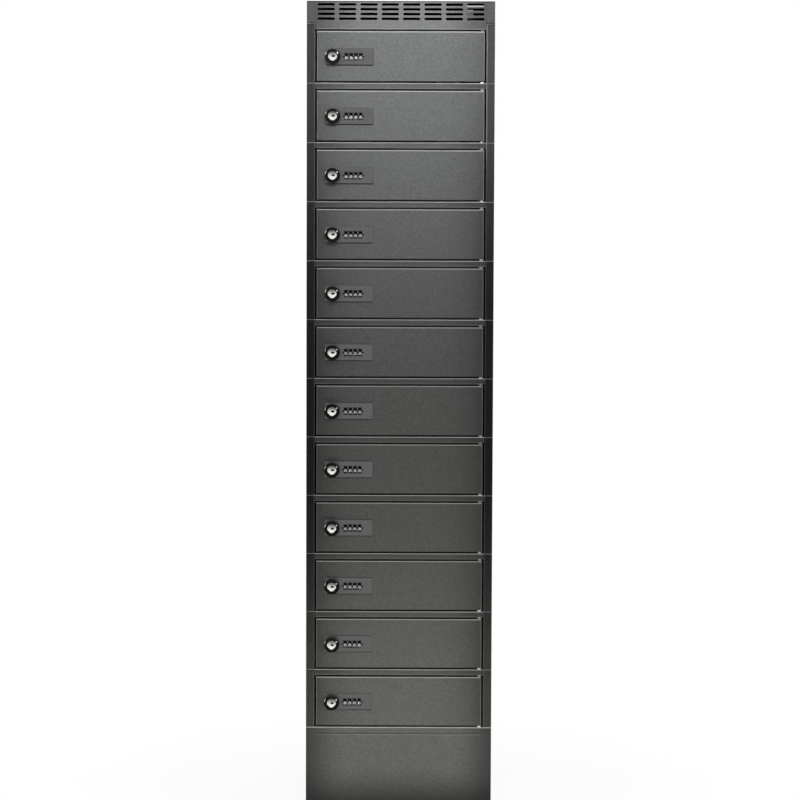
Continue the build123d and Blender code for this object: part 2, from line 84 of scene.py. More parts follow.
class Wire:
    """An output in a finish's nodes. Arithmetic on it adds the nodes that work it out."""

    def __init__(self, tree, socket=None):
        self.tree = tree
        self.socket = socket

    def node(self, kind, settings, inputs, output=0):
        """Adds a node: first its settings, then the values or wires of its inputs."""
        node = self.tree.nodes.new("ShaderNode" + kind)
        for name, value in settings.items():
            setattr(node, name, value)
        for name, value in inputs.items():
            if isinstance(value, Wire):
                self.tree.links.new(value.socket, node.inputs[name])
            else:
                node.inputs[name].default_value = value
        return Wire(self.tree, node.outputs[output] if node.outputs else None)

    def work(self, operation, *terms):
        """Math on numbers, Vector Math where a term is a vector."""
        vectors = [isinstance(term, Wire) and term.socket.type == "VECTOR" for term in terms]
        if not any(vectors):
            return self.node("Math", {"operation": operation}, dict(enumerate(terms)))
        terms = [(term,) * 3 if isinstance(term, (int, float)) else term for term in terms]
        return self.node("VectorMath", {"operation": operation}, dict(enumerate(terms)))

    def __add__(self, other):
        return self.work("ADD", self, other)

    def __radd__(self, other):
        return self.work("ADD", other, self)

    def __sub__(self, other):
        return self.work("SUBTRACT", self, other)

    def __rsub__(self, other):
        return self.work("SUBTRACT", other, self)

    def __mul__(self, other):
        return self.work("MULTIPLY", self, other)

    def __rmul__(self, other):
        return self.work("MULTIPLY", other, self)

    def __truediv__(self, other):
        return self.work("DIVIDE", self, other)

    def __abs__(self):
        return self.work("ABSOLUTE", self)

    def wrapped(self, period):
        return self.work("FLOORED_MODULO", self, period)

    def least(self, other):
        return self.work("MINIMUM", self, other)

    def most(self, other):
        return self.work("MAXIMUM", self, other)

    def axis(self, name):
        return self.node("SeparateXYZ", {}, {"Vector": self}, name)

    def length(self):
        return self.node("VectorMath", {"operation": "LENGTH"}, {0: self}, "Value")

    def rise(self, start, end):
        """0 up to start, 1 from end, and a smooth change between them."""
        limits = {"Value": self, "From Min": start, "From Max": end}
        return self.node("MapRange", {"interpolation_type": "SMOOTHSTEP"}, limits)

    def noise(self, size, detail=2.0):
        """Soft random spots about that large, from 0 to 1."""
        return self.node("TexNoise", {}, {"Vector": self, "Scale": 1 / size, "Detail": detail})

    def tint(self, low, high):
        """The colour low where the wire is 0, and high where it is 1."""
        return self.node("Mix", {"data_type": "RGBA"}, {0: self, 6: low, 7: high}, 2)


def start_finish(name):
    """A new material, and the wire of the place on the piece, in metres."""
    material = bpy.data.materials.new(name)
    material.use_nodes = True
    material.node_tree.nodes.clear()
    return material, Wire(material.node_tree).node("TexCoord", {}, {}, "Object")


def close_finish(place, colour, roughness, height, depth, painted_black=None, **constants):
    """The surface shader, with a bump of that depth from the height wire. Plain black where
    painted_black is set, as painted shade.
    """
    bump = place.node("Bump", {}, {"Height": height, "Distance": depth}, "Normal")
    sockets = {"Base Color": colour, "Roughness": roughness, "Normal": bump}
    sockets.update({name.replace("_", " "): value for name, value in constants.items()})
    shader = place.node("BsdfPrincipled", {}, sockets)
    if painted_black:
        black = place.node("BsdfDiffuse", {}, {"Color": shade_black})
        shader = place.node("MixShader", {}, {0: painted_black, 1: shader, 2: black})
    place.node("OutputMaterial", {}, {"Surface": shader})


def scaled(colour, share):
    return tuple(channel * share for channel in colour[:3]) + (1,)


def powder_coat(name, grey, roughness, specular, painted_shade=None, highlighted=None, painted_black=None):
    """Baked powder on steel. The masks paint shade darker, paint highlights lighter and metallic, and
    paint black as shade.
    """
    material, place = start_finish(name)
    mottle = place.noise(mottle_size, 3.0).rise(*mottle_contrast)
    colour = mottle.tint(scaled(grey, 1 - mottle_share), scaled(grey, 1 + mottle_share))
    metal = 0.0
    if painted_shade:
        colour = painted_shade(place).tint(colour, shade_black)
    if highlighted:
        edge_glint = highlighted(place)
        colour = edge_glint.tint(colour, highlight_grey)
        metal = edge_glint * highlight_metal
    pebbles = place.noise(pebble_size, 3.0)
    close_finish(place, colour, roughness + pebble_gloss * (pebbles - 0.5), pebbles, pebble_height,
                 painted_black(place) if painted_black else None, Metallic=metal, Specular_IOR_Level=specular)
    return material


def near_ends(place, start, end):
    """A soft mask towards the left and right ends of a front piece."""
    return abs(place.axis("X")).rise(start, end)


def near_front(place):
    """The foremost millimetre or two, where the cut and folded front edges are."""
    return 1 - (place.axis("Y") - front_y).rise(*cut_edge)


def plinth_shade(place):
    """Painted shade: darker towards both ends and the floor, and in the shadow line under the top rail.
    """
    ends = near_ends(place, *plinth_ends) * plinth_ends_dark
    low = (1 - place.axis("Z").rise(*plinth_foot)) * plinth_foot_dark
    line = 1 - abs(place.axis("Z") - shadow_line).rise(*shadow_line_fade)
    line = line * (1 - near_ends(place, *shadow_line_end)) * shadow_line_dark
    return 1 - (1 - ends) * (1 - low) * (1 - line)


def plinth_edge(place):
    """Painted highlights on the front edge of the plinth's top, and weaker ones on the edge under the
    shadow line.
    """
    top_edge = 1 - (plinth_top - place.axis("Z")).rise(*cut_edge)
    line_edge = 1 - abs(place.axis("Z") - light_line).rise(*light_line_fade)
    line_edge = line_edge * (1 - near_ends(place, *shadow_line_end)) * light_line_highlight
    return near_front(place) * top_edge.most(line_edge)


def give(nodes, material):
    """Puts one finish on CAD nodes."""
    for node in nodes:
        materials = frame["nodes"][node].data.materials
        materials.clear()
        materials.append(material)


give(["plinth"], powder_coat("plinth_coat", coat_grey, coat_roughness, coat_specular,
                             plinth_shade, plinth_edge))

# The side walls are box sections of sheet steel, one length for each bay, and their fronts are
# the posts. Like the rear covers they have a smoother and darker coat than the doors, while the
# back sheets have the doors' coat.
post_grey = (0.041, 0.041, 0.040, 1)
frame_roughness = 0.5
frame_specular = 0.03
post_dark = 0.66
post_upper = (1150 * mm, 1750 * mm)
post_upper_left_loss = 0.45
post_foot = (150 * mm, 800 * mm)
post_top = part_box("side_walls")[1].z
post_top_joint = (post_top - 2 * mm, post_top - 1 * mm)
post_inner = 200 * mm
post_fold = post_inner + 1.2 * mm
post_fold_fade = (0.5 * mm, 1.1 * mm)
post_fold_highlight = 0.12
right_half = (-10 * mm, 10 * mm)
upper_fold = (1450 * mm, 1600 * mm)
upper_fold_highlight = 0.28


def post_shade(place):
    """Painted light and shade: darker in the middle, paler towards the top and the foot and palest at
    the upper right, and dark at the top ends under the cap.
    """
    left = 1 - place.axis("X").rise(*right_half)
    upper = place.axis("Z").rise(*post_upper) * (1 - left * post_upper_left_loss)
    lower = 1 - place.axis("Z").rise(*post_foot)
    top_end = place.axis("Z").rise(*post_top_joint)
    return (post_dark - post_dark * upper.most(lower)).most(top_end)


def post_edge(place):
    """Painted highlights on the folds of the posts beside the doors, strongest at the upper right."""
    from_fold = abs(abs(place.axis("X")) - post_fold)
    upper_right = place.axis("X").rise(*right_half) * place.axis("Z").rise(*upper_fold)
    post_highlight = post_fold_highlight + upper_fold_highlight * upper_right
    return near_front(place) * (1 - from_fold.rise(*post_fold_fade)) * post_highlight


give(["side_walls"], powder_coat("post_coat", post_grey, frame_roughness, frame_specular,
                                 post_shade, post_edge))
give(["rear_covers"], powder_coat("cover_coat", post_grey, frame_roughness, frame_specular))
give(["bay_backs"], powder_coat("back_coat", coat_grey, coat_roughness, coat_specular))

# The decks are steel sheets that run through between the side walls from edge to edge. Their
# cut front edges are painted as a bright line across the tower under each door: painted highlight.
deck_grey = (0.020, 0.020, 0.0195, 1)
deck_highlight_on_posts = 0.4
post_crossing = (post_inner - 1 * mm, post_inner + 1 * mm)


def deck_edge(place):
    """Painted highlight on the cut front edge of a deck, weaker where it passes through the posts."""
    return near_front(place) * (1 - near_ends(place, *post_crossing) * (1 - deck_highlight_on_posts))


give(["bay_decks"], powder_coat("deck_coat", deck_grey, frame_roughness, frame_specular,
                                highlighted=deck_edge))

# A folded steel rail closes the front over each door, and the vented steel cap closes the tower.
# Both have the doors' coat, painted darker on the rails as painted shade and lighter on the cap as
# painted light, and the inside of the cap is painted black as shade.
first_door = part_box("door_01")
bay_pitch = first_door[0].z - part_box("door_02")[0].z
door_numbers = [name[-2:] for name in sorted(frame["nodes"]) if name.startswith("door_")]
# Painted shade and light: the rails' coat is painted darker and the cap's lighter than the doors'.
rail_painted_shade_tone = 0.76
rail_ends = (80 * mm, 220 * mm)
rail_ends_dark = 0.62
rail_joint_from = (post_inner - 2 * mm, post_inner - 1.4 * mm)
rail_joint_to = (post_inner, post_inner + 0.5 * mm)
rail_joint_dark = 0.8
rail_highlight_share = 0.2
cap_low, cap_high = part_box("vent_cap")
cap_painted_light_tone = 1.18
cap_wall = 0.6 * mm
cap_wall_fade = 0.1 * mm
cap_turned = (cap_high.z - 3 * mm, cap_high.z - 1.5 * mm)
cap_turned_dark = 0.9
cap_seam = plinth_top + len(door_numbers) * bay_pitch
cap_seam_fade = (1.5 * mm, 2.5 * mm)
cap_seam_end = (post_inner - 2 * mm, post_inner)
rail_bottom = cap_low.z + bay_pitch - cap_seam


def rail_shade(place):
    """Painted shade: darker towards the ends, and dark in the joints with the posts."""
    joint = near_ends(place, *rail_joint_from) * (1 - near_ends(place, *rail_joint_to)) * rail_joint_dark
    return (near_ends(place, *rail_ends) * rail_ends_dark).most(joint)


def cap_shade(place):
    """Painted shade: darker towards the ends, where the top edge turns over, and at the seams on the
    posts.
    """
    turned = place.axis("Z").rise(*cap_turned) * cap_turned_dark
    seam = 1 - abs(place.axis("Z") - cap_seam).rise(*cap_seam_fade)
    seam = seam * near_ends(place, *cap_seam_end)
    return 1 - (1 - rail_shade(place)) * (1 - turned.most(seam))


def cap_inside(place):
    """Every face inside the cap, which is painted black as shade."""
    inside = (cap_high.z - cap_wall - place.axis("Z")).least(place.axis("Y") - front_y - cap_wall)
    inside = inside.least(cap_high.x - cap_wall - abs(place.axis("X")))
    return inside.least(cap_high.y - cap_wall - place.axis("Y")).rise(0, cap_wall_fade)


def rail_edge(place):
    """Painted highlight on the lower front edge of a rail, and of the cap's tongue."""
    height = (place.axis("Z") - plinth_top).wrapped(bay_pitch)
    return near_front(place) * (1 - abs(height - rail_bottom).rise(*cut_edge)) * rail_highlight_share


give(["front_rails"], powder_coat("rail_coat", scaled(coat_grey, rail_painted_shade_tone), coat_roughness,
                                  coat_specular, rail_shade, rail_edge))
give(["vent_cap"], powder_coat("cap_coat", scaled(coat_grey, cap_painted_light_tone), coat_roughness,
                               coat_specular, cap_shade, rail_edge, cap_inside))

# Each door is a folded steel pan in the tower's main coat. It turns on two collared pins of
# natural white nylon, which are pressed into the deck below it and the rail above it.
door_bottom = (first_door[0].z - plinth_top) % bay_pitch
door_top = door_bottom + first_door[1].z - first_door[0].z
door_half = first_door[1].x
door_ends_dark = 0.62
upper_doors = (1350 * mm, 1750 * mm)
upper_doors_gain = 0.25
turned_under = (0.63 * mm, 1.08 * mm)
top_fold_from = (0.9 * mm, 1.35 * mm)
top_fold_to = (2.8 * mm, 3.3 * mm)
top_fold_highlight = 0.6
side_fold_highlight = 0.28
nylon_white = (0.80, 0.80, 0.77, 1)
lower_pins = (20 * mm, 30 * mm)
lower_pin_tone = 0.85
upper_pin_shade_tone = 0.45
top_pin = (cap_low.z - 25 * mm, cap_low.z - 20 * mm)
top_pin_shade_tone = 0.1


def door_shade(place):
    """Painted shade: darker towards the ends, less so on the upper doors, and dark where the edges turn
    under at the top and the bottom.
    """
    height = (place.axis("Z") - plinth_top).wrapped(bay_pitch)
    turned = 1 - (height - door_bottom).least(door_top - height).rise(*turned_under)
    across = place.axis("X") / door_half
    across = across * across
    ends = across * across * (door_ends_dark - upper_doors_gain * place.axis("Z").rise(*upper_doors))
    return 1 - (1 - ends) * (1 - turned)


def door_folds(place):
    """Painted highlights on the folded edges round a door's front, strongest at the top."""
    height = (place.axis("Z") - plinth_top).wrapped(bay_pitch)
    under_top = door_top - height
    upper = under_top.rise(*top_fold_from) * (1 - under_top.rise(*top_fold_to))
    sides = 1 - (door_half - abs(place.axis("X"))).rise(*cut_edge)
    return near_front(place) * (upper * top_fold_highlight).most(sides * side_fold_highlight)


door_coat = powder_coat("door_coat", coat_grey, coat_roughness, coat_specular, door_shade, door_folds)
give(["door_" + number for number in door_numbers], door_coat)
# The nylon is white, but the pins at the top of each door are painted darker, and the one under the cap
# nearly black, as painted shade.
nylon, place = start_finish("nylon")
lower = 1 - (place.axis("Z") - plinth_top).wrapped(bay_pitch).rise(*lower_pins)
colour = lower.tint(scaled(nylon_white, upper_pin_shade_tone), scaled(nylon_white, lower_pin_tone))
colour = place.axis("Z").rise(*top_pin).tint(colour, scaled(nylon_white, top_pin_shade_tone))
close_finish(place, colour, roughness=0.42, height=place.noise(2 * mm), depth=0.02 * mm)
give(["hinge_pivots"], nylon)

# The lock's face plate and body are one zinc casting with a satin grey finish, screwed to the
# door from behind. A black index line is printed across it, level with the dials' axle.
plate_grey = (0.116, 0.116, 0.118, 1)
plate_metal = 0.95
plate_roughness = 0.45
plate_shadow_band = (1.2 * mm, 1.8 * mm)
plate_shadow_tone = 0.15
cloud_size = 12 * mm
cloud_share = 0.06
fine_grain = 0.7 * mm
grain_depth = 0.01 * mm
print_black = (0.001, 0.001, 0.001, 1)
print_thickness = 0.15 * mm
plate_bottom = (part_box("lock_housing_01")[0].z - plinth_top) % bay_pitch


def clouded(cloud, colour):
    """The colour, a little darker and paler by soft clouds."""
    return cloud.tint(scaled(colour, 1 - cloud_share), scaled(colour, 1 + cloud_share))


def moulded(name, colour, roughness, grain_size, depth, **constants):
    """The skin of a moulded, cast or printed piece, with a fine grain."""
    material, place = start_finish(name)
    cloud = place.noise(cloud_size)
    grain = place.noise(grain_size, 1.0)
    close_finish(place, clouded(cloud, colour), roughness + cloud_share * (cloud - 0.5), grain, depth,
                 **constants)
    return material


plate_satin, place = start_finish("plate_satin")
height = (place.axis("Z") - plinth_top).wrapped(bay_pitch) - plate_bottom
cloud = place.noise(cloud_size)
# Painted shadow: the plate's lower edge is painted dark.
low_shadow = 1 - height.rise(*plate_shadow_band)
colour = low_shadow.tint(clouded(cloud, plate_grey), scaled(plate_grey, plate_shadow_tone))
close_finish(place, colour, plate_roughness + cloud_share * (cloud - 0.5), place.noise(fine_grain, 1.0),
             grain_depth, Metallic=plate_metal, Specular_IOR_Level=0.1)
give(["lock_housing_" + number for number in door_numbers], plate_satin)
ink_black = moulded("ink_black", print_black, roughness=0.55, grain_size=fine_grain, depth=grain_depth,
                    Specular_IOR_Level=0.05)
plate_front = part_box("lock_housing_01")[0].y
joint_place = {joint["name"]: Vector(joint["pos_m"]) for joint in frame["joints"]}
first_dial = joint_place["dials_01_turn"]
dial_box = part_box("dials_01")
dial_count = 4
dial_half_width = 4 * mm
dial_radius = (dial_box[1].z - dial_box[0].z) / 2
dial_pitch = (dial_box[1].x - dial_half_width - first_dial.x) / (dial_count - 1)
window_half_width = 4.3 * mm
mark_half_height = 2.2 * mm
mark_tail = 4.2 * mm
mark_overlap = 0.4 * mm
merge_distance = 0.005 * mm


def new_piece(name, mesh, body, place):
    """An object of a shared mesh, set at its place and riding on a CAD body."""
    piece = bpy.data.objects.new(name, mesh)
    bpy.context.scene.collection.objects.link(piece)
    piece.location = place
    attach(piece, body)
    return piece


def finished_mesh(shape, name, material, smooth_angle=None):
    """Turns a bmesh into a mesh in one finish, smooth where the faces turn gently."""
    bmesh.ops.remove_doubles(shape, verts=shape.verts, dist=merge_distance)
    bmesh.ops.recalc_face_normals(shape, faces=shape.faces)
    mesh = bpy.data.meshes.new(name)
    shape.to_mesh(mesh)
    shape.free()
    mesh.materials.append(material)
    if smooth_angle:
        mesh.shade_smooth()
        mesh.set_sharp_from_angle(angle=smooth_angle)
    return mesh


def join_rings(shape, lower, upper):
    """Adds the band of faces between two rings of as many vertices."""
    for index in range(len(lower)):
        following = (index + 1) % len(lower)
        shape.faces.new((lower[index], lower[following], upper[following], upper[index]))


def plate_of(shape, outline, y_from, y_to):
    """Adds a flat closed prism to a bmesh: an outline in X and Z, between two depths."""
    rings = [[shape.verts.new((x, y, z)) for x, z in outline] for y in (y_from, y_to)]
    for ring in rings:
        shape.faces.new(ring)
    join_rings(shape, *rings)


def on_each_plate(name, mesh):
    """One piece of that mesh on each lock's plate, level with the axle of its dials."""
    for number in door_numbers:
        level = joint_place[f"dials_{number}_turn"].z
        new_piece(name + number, mesh, "door_" + number, (first_dial.x, plate_front, level))


index_line = bmesh.new()
web_half = dial_pitch / 2 - window_half_width + mark_overlap
for gap in range(dial_count + 1):
    middle = (gap - 0.5) * dial_pitch
    left = middle - (web_half if gap > 0 else mark_tail)
    right = middle + (web_half if gap < dial_count else mark_tail)
    corners = [(left, 0), (middle, -mark_half_height), (right, 0), (middle, mark_half_height)]
    plate_of(index_line, corners, -print_thickness, 0)
on_each_plate("index_line_", finished_mesh(index_line, "index_line", ink_black))

# Four number wheels of die-cast zinc in a dark lacquer turn on a steel axle in each lock, with a
# thumb notch between each two of their ten numbers, which are filled with white.
dial_grey = (0.08, 0.08, 0.08, 1)
numeral_white = (0.75, 0.75, 0.73, 1)
numeral_height = 5.8 * mm
numeral_width_share = 1.5
numeral_count = 10
numeral_proud = 0.12 * mm
numeral_sink = 0.25 * mm
numeral_turn = math.radians(-16)
numeral_steps = 3
dial_lacquer = moulded("dial_grey", dial_grey, roughness=0.4, grain_size=fine_grain, depth=grain_depth,
                       Metallic=0.7, Specular_IOR_Level=0.1)
give(["dials_" + number for number in door_numbers], dial_lacquer)
white_fill = moulded("white_fill", numeral_white, roughness=0.5, grain_size=0.6 * mm, depth=0.005 * mm,
                     Metallic=0.4)


def numeral_shape(digit):
    """The vertices and faces of one numeral: a thin closed solid, flat in X and Y, centred."""
    text = bpy.data.curves.new("numeral", "FONT")
    text.body = str(digit)
    text.size = 1.0
    text.resolution_u = numeral_steps
    text.extrude = 0.5
    holder = bpy.data.objects.new("numeral", text)
    bpy.context.scene.collection.objects.link(holder)
    mesh = bpy.data.meshes.new_from_object(holder.evaluated_get(bpy.context.evaluated_depsgraph_get()))
    bpy.data.objects.remove(holder)
    low = [min(vertex.co[axis] for vertex in mesh.vertices) for axis in (0, 1)]
    high = [max(vertex.co[axis] for vertex in mesh.vertices) for axis in (0, 1)]
    size = numeral_height / (high[1] - low[1])
    points = [((vertex.co.x - (low[0] + high[0]) / 2) * size * numeral_width_share,
               (vertex.co.y - (low[1] + high[1]) / 2) * size, vertex.co.z) for vertex in mesh.vertices]
    faces = [tuple(polygon.vertices) for polygon in mesh.polygons]
    bpy.data.meshes.remove(mesh)
    return points, faces


numerals = bmesh.new()
numeral_shapes = [numeral_shape(digit) for digit in range(numeral_count)]
for dial in range(dial_count):
    for digit, (points, faces) in enumerate(numeral_shapes):
        turn = numeral_turn - 2 * math.pi * digit / numeral_count
        vertices = []
        for across, up, layer in points:
            angle = turn + up / dial_radius
            reach = dial_radius + (numeral_proud if layer > 0 else -numeral_sink)
            vertices.append(numerals.verts.new((dial * dial_pitch + across,
                                                -reach * math.cos(angle), reach * math.sin(angle))))
        for face in faces:
            numerals.faces.new([vertices[index] for index in face])
numeral_mesh = finished_mesh(numerals, "dial_numbers", white_fill)
for number in door_numbers:
    new_piece("dial_numbers_" + number, numeral_mesh, "dials_" + number,
              joint_place[f"dials_{number}_turn"])

# A black sheet closes the upper part of each dial window as painted shade, so that only the chosen
# number is seen under it. The four sheets are thin and lie just behind the plate's face.
shade_low = 1.6 * mm
shade_high = 7.9 * mm
shade_half_width = 4.2 * mm
shade_front = 0.05 * mm
shade_back = 0.4 * mm
shadow_sheets = bmesh.new()
for dial in range(dial_count):
    middle = dial * dial_pitch
    left = middle - shade_half_width
    right = middle + shade_half_width
    corners = [(left, shade_low), (right, shade_low), (right, shade_high), (left, shade_high)]
    plate_of(shadow_sheets, corners, shade_front, shade_back)
on_each_plate("window_shades_", finished_mesh(shadow_sheets, "window_shades", ink_black))

# The knob is a black moulding with a fluted grip behind a plain rim. Its spindle runs through
# the lock, and a white dot stands on its face and a white tick on its rim.
knob_black = (0.004, 0.004, 0.0035, 1)
rim_highlight_grey = (0.055, 0.055, 0.052, 1)
highlight_ring = (15.8 * mm, 17.3 * mm)
highlight_top = (6 * mm, 16 * mm)
highlight_depth = (3 * mm, 4 * mm)
knob_radius = 18 * mm
knob_height = 14 * mm
knob_gap = 0.3 * mm
knob_edge_radius = 1.5 * mm
knob_rim = 3 * mm
knob_foot_inset = 1.4 * mm
knob_foot_bevel = 0.4 * mm
flute_count = 24
points_per_flute = 10
flute_radius = 1 * mm
dish_inner = 12.4 * mm
dish_outer = 15.2 * mm
dish_depth = 0.9 * mm
dish_lip = 0.1 * mm
plug_radius = 11 * mm
plug_flat = 9.7 * mm
plug_room = 0.1 * mm
plug_depth = 6 * mm
recess_bevel = 0.3 * mm
recess_bevel_depth = 0.2 * mm
spindle_radius = 8 * mm
tang_half = 5 * mm
stud_radius = 4 * mm
stud_past_nut = 1 * mm
cam_thickness = 3 * mm
nut_height = 5 * mm
knob_base = plate_front - front_y - knob_gap
knob_face = knob_base - knob_height
dish_level = knob_face + dish_depth
plug_seat = knob_face + plug_depth
plug_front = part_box("knob_01")[0].y - front_y
stud_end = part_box("knob_01")[1].y - front_y
cam_rear = stud_end - stud_past_nut - nut_height
cam_front = cam_rear - cam_thickness


def from_axis(place):
    """The distance from the axis of a knob, which lies along Y."""
    return (place * (1.0, 0.0, 1.0)).length()


gloss_black, place = start_finish("gloss_black")
# Painted highlight: the upper part of the rim is painted grey.
rim_highlight = from_axis(place).rise(*highlight_ring) * place.axis("Z").rise(*highlight_top)
rim_highlight = rim_highlight * (1 - (place.axis("Y") - knob_face).rise(*highlight_depth))
close_finish(place, rim_highlight.tint(knob_black, rim_highlight_grey), roughness=0.36, height=place.noise(0.9 * mm, 1.0),
             depth=grain_depth, Specular_IOR_Level=0.06)


def round_outline(radius):
    return lambda turn: radius


def fluted_outline(turn):
    """The knob's grip: a circle with round-bottomed flutes."""
    pitch = 2 * math.pi / flute_count
    across = knob_radius * abs((turn + pitch / 2) % pitch - pitch / 2)
    return knob_radius - (math.sqrt(flute_radius ** 2 - across ** 2) if across < flute_radius else 0)


def square_outline(turn):
    return tang_half / max(abs(math.cos(turn)), abs(math.sin(turn)))


def plug_outline(extra=0.0):
    """The plug's face: round, with two flats that meet in a blunt point at the bottom."""
    def radius(turn):
        flats = [math.cos(turn - math.radians(side)) for side in (-45, -135)]
        return extra + min([plug_radius] + [plug_flat / share for share in flats if share > 0.5])
    return radius


def at_turn(turn, reach):
    """X and Z of a point round the knob's axis."""
    return reach * math.cos(turn), reach * math.sin(turn)


def ring_layers(shape, rings, count):
    """Adds a ring of vertices round the Y axis for each pair of a depth and an outline."""
    turns = [2 * math.pi * index / count for index in range(count)]
    layers = []
    for depth, outline in rings:
        points = [at_turn(turn, outline(turn)) for turn in turns]
        layers.append([shape.verts.new((x, depth, z)) for x, z in points])
    return layers


def lofted(rings, count):
    """A closed shape round the Y axis from (depth, outline) rings, its two ends capped."""
    shape = bmesh.new()
    layers = ring_layers(shape, rings, count)
    for lower, upper in zip(layers, layers[1:]):
        join_rings(shape, lower, upper)
    shape.faces.new(layers[0])
    shape.faces.new(layers[-1])
    return shape


def edge_rings(depth, radius, fold, steps):
    """The rings of a rounded front edge, from the face out to the side."""
    angles = [math.pi / 2 * step / steps for step in range(steps + 1)]
    return [(depth + fold * (1 - math.cos(angle)), round_outline(radius - fold * (1 - math.sin(angle))))
            for angle in angles]


grip_rings = [(plug_seat, plug_outline(plug_room)),
              (dish_level + recess_bevel_depth, plug_outline(plug_room)),
              (dish_level, plug_outline(plug_room + recess_bevel)),
              (dish_level, round_outline(dish_inner)),
              (knob_face + dish_lip, round_outline(dish_outer))]
grip_rings += edge_rings(knob_face, knob_radius, knob_edge_radius, 5)
grip_rings += [(knob_face + knob_rim, round_outline(knob_radius)),
               (knob_face + knob_rim, fluted_outline),
               (knob_base - knob_foot_bevel, fluted_outline),
               (knob_base, round_outline(knob_radius - knob_foot_inset)),
               (knob_base, round_outline(spindle_radius)),
               (cam_front, round_outline(spindle_radius)),
               (cam_front, square_outline),
               (cam_rear, square_outline),
               (cam_rear, round_outline(stud_radius)),
               (stud_end, round_outline(stud_radius))]
grip_shape = lofted(grip_rings, flute_count * points_per_flute)
grip_mesh = finished_mesh(grip_shape, "knob_grip", gloss_black, math.radians(35))

dot_turn = math.radians(33.5)
dot_reach = 13.3 * mm
dot_radius = 1.55 * mm
dot_proud = 0.45 * mm
dot_points = 24
tick_from = math.radians(147)
tick_to = math.radians(171)
tick_steps = 8
tick_reach = 16.9 * mm
tick_half_width = 0.5 * mm
tick_proud = 0.15 * mm
mark_sink = 0.6 * mm
marks = bmesh.new()
dot_x, dot_z = at_turn(dot_turn, dot_reach)
dot_depth = knob_face + dish_depth * (dish_outer - dot_reach) / (dish_outer - dish_inner)
dot_circle = [at_turn(2 * math.pi * step / dot_points, dot_radius) for step in range(dot_points)]
dot_outline = [(dot_x + across, dot_z + up) for across, up in dot_circle]
plate_of(marks, dot_outline, dot_depth - dot_proud, dot_depth + mark_sink)
tick_turns = [tick_from + (tick_to - tick_from) * step / tick_steps for step in range(tick_steps + 1)]
tick_outline = [at_turn(turn, tick_reach - tick_half_width) for turn in tick_turns]
tick_outline += [at_turn(turn, tick_reach + tick_half_width) for turn in reversed(tick_turns)]
plate_of(marks, tick_outline, knob_face - tick_proud, knob_face + mark_sink)
marks_mesh = finished_mesh(marks, "knob_marks", white_fill)
for number in door_numbers:
    place = joint_place[f"knob_{number}_turn"]
    grip = new_piece("knob_grip_" + number, grip_mesh, "knob_" + number, place)
    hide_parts("knob_" + number)
    new_piece("knob_marks_" + number, marks_mesh, "knob_" + number, place)

# The override key plug is a turned and nickel-plated brass barrel in the middle of the knob,
# with a two-lobed keyway a little to the right of its middle.
nickel = (0.84, 0.83, 0.79, 1)
nickel_shade_tone = 0.15
nickel_upper_shade = (-6 * mm, 10 * mm)
nickel_cloud_size = 5 * mm
nickel_cloud_share = 0.25
keyway_depth = 12 * mm
keyway_dark = (0.1 * mm, 0.4 * mm)
keyway_reach = (6.5 * mm, 7.5 * mm)
keyway_lobes = [(0.2 * mm, 2.4 * mm), (3.2 * mm, 2.5 * mm)]
plug_edge = 0.8 * mm
plug_edge_dark = (plug_radius - plug_edge, plug_radius - plug_edge / 2)
barrel_radius = 5 * mm
barrel_length = 17.9 * mm
plug_points = 96


def keyway_outline(turn):
    """The reach of the keyway's edge from the knob's axis, round two overlapping lobes."""
    reaches = []
    for middle, radius in keyway_lobes:
        side = middle * math.sin(turn)
        if abs(side) < radius:
            reaches.append(middle * math.cos(turn) + math.sqrt(radius ** 2 - side ** 2))
    return max(reaches)


bright_nickel, place = start_finish("bright_nickel")
# Painted shade: the keyway and the bevelled edge ring are painted black, and the upper part of the plug
# darker, with soft random clouds.
keyway = (place.axis("Y") - plug_front).rise(*keyway_dark) * (1 - from_axis(place).rise(*keyway_reach))
inside = keyway.most(from_axis(place).rise(*plug_edge_dark))
cloud = place.noise(nickel_cloud_size, 3.0)
shade_and_stain = place.axis("Z").rise(*nickel_upper_shade) + nickel_cloud_share * (cloud - 0.5)
colour = inside.tint(shade_and_stain.tint(nickel, scaled(nickel, nickel_shade_tone)), shade_black)
close_finish(place, colour, roughness=0.2 + 0.1 * cloud, height=place.noise(0.6 * mm), depth=grain_depth,
             Metallic=1.0, Specular_IOR_Level=0.1)
plug_rings = [(plug_front + keyway_depth, keyway_outline), (plug_front, keyway_outline),
              (plug_front, plug_outline(-plug_edge)), (plug_front + plug_edge, plug_outline()),
              (plug_seat, plug_outline()), (plug_seat, round_outline(barrel_radius)),
              (plug_seat + barrel_length, round_outline(barrel_radius))]
plug_mesh = finished_mesh(lofted(plug_rings, plug_points), "key_plug", bright_nickel, math.radians(30))
for number in door_numbers:
    place = joint_place[f"knob_{number}_turn"]
    plug = new_piece("key_plug_" + number, plug_mesh, "knob_" + number, place)
    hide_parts("knob_" + number)

# The latch cam is a zinc-plated steel tongue on the spindle's square, held by a nut. It hangs
# down while the lock is open, and swings into the side wall to lock.
cam_length = 50 * mm
cam_half_width = 8 * mm
cam_hub_radius = 11 * mm
cam_hub_steps = 36
cam_tip_steps = 16
cam_edge = 0.35 * mm
square_room = 0.02 * mm
thread_room = 0.02 * mm
nut_flats = 13 * mm
nut_corner_loss = 0.45 * mm
nut_lower_bevel = 0.3 * mm
nut_upper_bevel = 0.5 * mm
nut_points = 48
zinc = (0.28, 0.28, 0.27, 1)
drag_pitch = 0.35 * mm
drag_depth = 0.02 * mm
plated_dull_tone = 0.86
plated_cloud_size = 4 * mm
plated_gloss = 0.12


